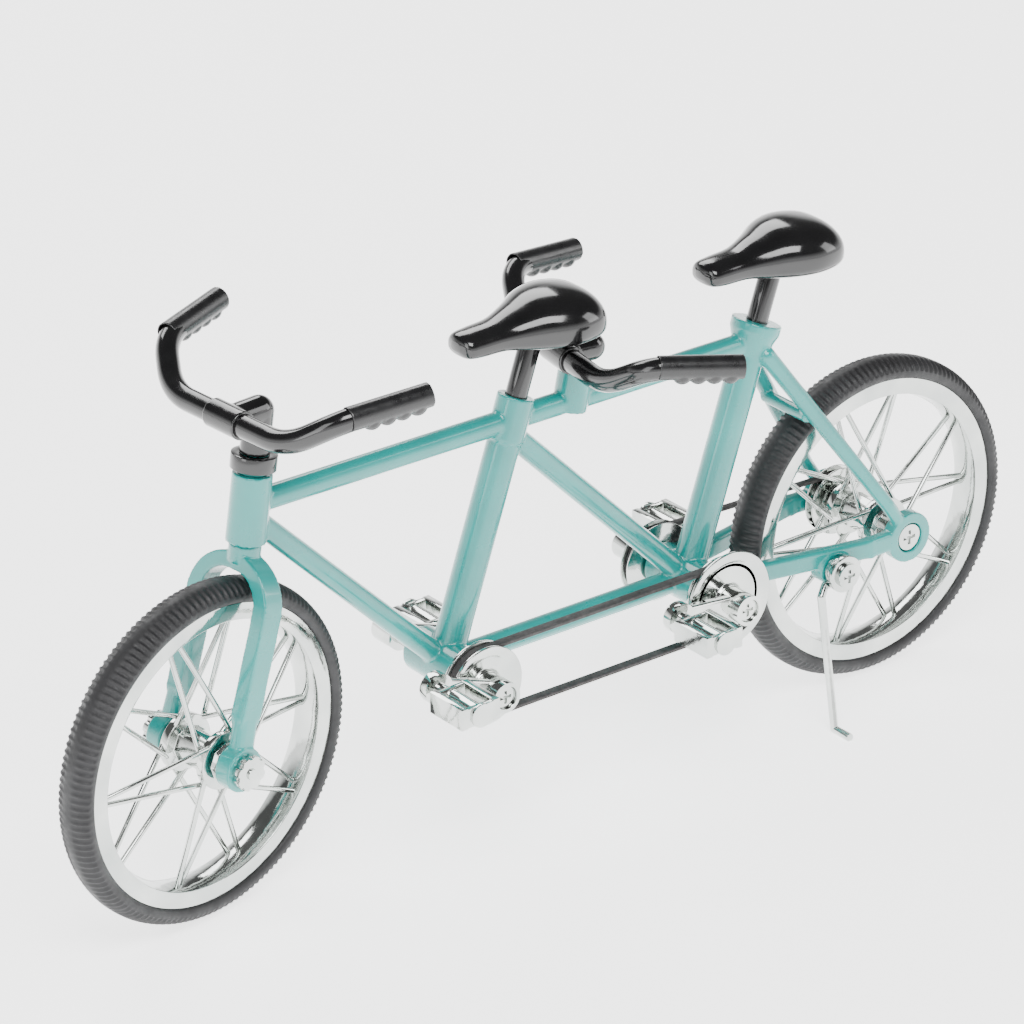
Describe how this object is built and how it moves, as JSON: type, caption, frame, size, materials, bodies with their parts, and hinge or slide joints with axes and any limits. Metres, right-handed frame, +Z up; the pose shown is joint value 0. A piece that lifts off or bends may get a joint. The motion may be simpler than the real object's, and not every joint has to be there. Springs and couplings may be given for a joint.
{
  "type": "tandem bicycle",
  "caption": "Miniature tandem bicycle with spoked wheels, two saddles, two handlebars, belt-linked cranks, free pedals and a folding kickstand.",
  "frame": {"origin": "on the ground plane and the bicycle's middle plane, 78.5 mm ahead of the rear axle, about midway between the wheels", "axes": "+X forward, towards the front wheel; +Y to the bicycle's left; +Z up"},
  "size_m": [0.2233, 0.0674, 0.1061],
  "materials": {
    "frame_paint": "gloss",
    "chrome": "polished",
    "tyre": "matte",
    "black_gloss": "gloss",
    "grip": "satin",
    "belt": "matte"
  },
  "bodies": {
    "frame_body": {"head_tube": "frame_paint", "front_top_tube": "frame_paint", "rear_top_tube": "frame_paint", "down_tube": "frame_paint", "front_seat_tube": "frame_paint", "rear_seat_tube": "frame_paint", "boom_tube": "frame_paint", "diagonal_tube": "frame_paint", "front_bb_shell": "frame_paint", "rear_bb_shell": "frame_paint", "left_chainstay": "frame_paint", "right_chainstay": "frame_paint", "left_seat_stay": "frame_paint", "right_seat_stay": "frame_paint", "stay_bridge": "frame_paint", "bar_socket": "frame_paint", "front_saddle": "black_gloss", "rear_saddle": "black_gloss", "front_seat_post": "black_gloss", "rear_seat_post": "black_gloss", "rear_axle": "chrome", "rear_axle_screws": "chrome", "kickstand_cup": "chrome", "kickstand_screw": "chrome", "timing_belt": "belt", "drive_belt": "belt"},
    "steering": {"fork": "frame_paint", "headset_ring": "black_gloss", "stem": "black_gloss", "front_bar": "black_gloss", "front_grips": "grip", "front_axle": "chrome", "front_axle_nuts": "chrome"},
    "rear_handlebar": {"rear_stem": "black_gloss", "rear_bar": "black_gloss", "rear_grips": "grip"},
    "front_wheel": {"front_rim": "chrome", "front_spokes": "chrome", "front_tyre": "tyre"},
    "rear_wheel": {"rear_rim": "chrome", "rear_spokes": "chrome", "rear_tyre": "tyre", "rear_sprocket": "chrome"},
    "front_cranks": {"front_crank_axle": "chrome", "front_timing_pulley": "chrome", "front_left_crank": "chrome", "front_right_crank": "chrome", "front_crank_screws": "chrome"},
    "rear_cranks": {"rear_crank_axle": "chrome", "rear_timing_pulley": "chrome", "chainring": "chrome", "rear_left_crank": "chrome", "rear_right_crank": "chrome", "rear_crank_screws": "chrome"},
    "front_left_pedal_body": {"front_left_pedal": "chrome"},
    "front_right_pedal_body": {"front_right_pedal": "chrome"},
    "rear_left_pedal_body": {"rear_left_pedal": "chrome"},
    "rear_right_pedal_body": {"rear_right_pedal": "chrome"},
    "kickstand_body": {"kickstand": "chrome"}
  },
  "joints": [
    {"name": "steering_turn", "type": "hinge", "parent": "frame_body", "child": "steering", "pos_m": [0.0681, 0, 0.07], "axis": [-0.1495, 0, 0.9888], "range_deg": [-54, 36]},
    {"name": "front_wheel_spin", "type": "hinge", "parent": "steering", "child": "front_wheel", "pos_m": [0.07903, 0.00084, 0.03299], "axis": [-0.1547, 0.9877, -0.0234], "continuous": true},
    {"name": "rear_wheel_spin", "type": "hinge", "parent": "frame_body", "child": "rear_wheel", "pos_m": [-0.0785, 0, 0.033], "axis": [0, 1, 0], "continuous": true},
    {"name": "rear_crank_spin", "type": "hinge", "parent": "frame_body", "child": "rear_cranks", "pos_m": [-0.0332, 0, 0.0333], "axis": [0, 1, 0], "continuous": true},
    {"name": "front_crank_spin", "type": "hinge", "parent": "frame_body", "child": "front_cranks", "pos_m": [0.0243, 0, 0.0333], "axis": [0, 1, 0], "continuous": true},
    {"name": "front_left_pedal_spin", "type": "hinge", "parent": "front_cranks", "child": "front_left_pedal_body", "pos_m": [0.03746, 0.0237, 0.03809], "axis": [0, 1, 0], "continuous": true},
    {"name": "front_right_pedal_spin", "type": "hinge", "parent": "front_cranks", "child": "front_right_pedal_body", "pos_m": [0.01114, -0.0237, 0.02851], "axis": [0, 1, 0], "continuous": true},
    {"name": "rear_left_pedal_spin", "type": "hinge", "parent": "rear_cranks", "child": "rear_left_pedal_body", "pos_m": [-0.01928, 0.0237, 0.03476], "axis": [0, 1, 0], "continuous": true},
    {"name": "rear_right_pedal_spin", "type": "hinge", "parent": "rear_cranks", "child": "rear_right_pedal_body", "pos_m": [-0.04712, -0.0237, 0.03184], "axis": [0, 1, 0], "continuous": true},
    {"name": "kickstand_fold", "type": "hinge", "parent": "frame_body", "child": "kickstand_body", "pos_m": [-0.0608, 0.0127, 0.031], "axis": [0, 1, 0], "range_deg": [0, 90]},
    {"name": "rear_bar_swivel", "type": "hinge", "parent": "frame_body", "child": "rear_handlebar", "pos_m": [-0.00614, 0, 0.082], "axis": [-0.2079, 0, 0.9781], "range_deg": [-15.7, 34.3]}
  ],
  "couplings": [
    {"joint": "rear_crank_spin", "follows": "rear_wheel_spin", "ratio": 0.82222},
    {"joint": "front_crank_spin", "follows": "rear_wheel_spin", "ratio": 0.82222}
  ]
}
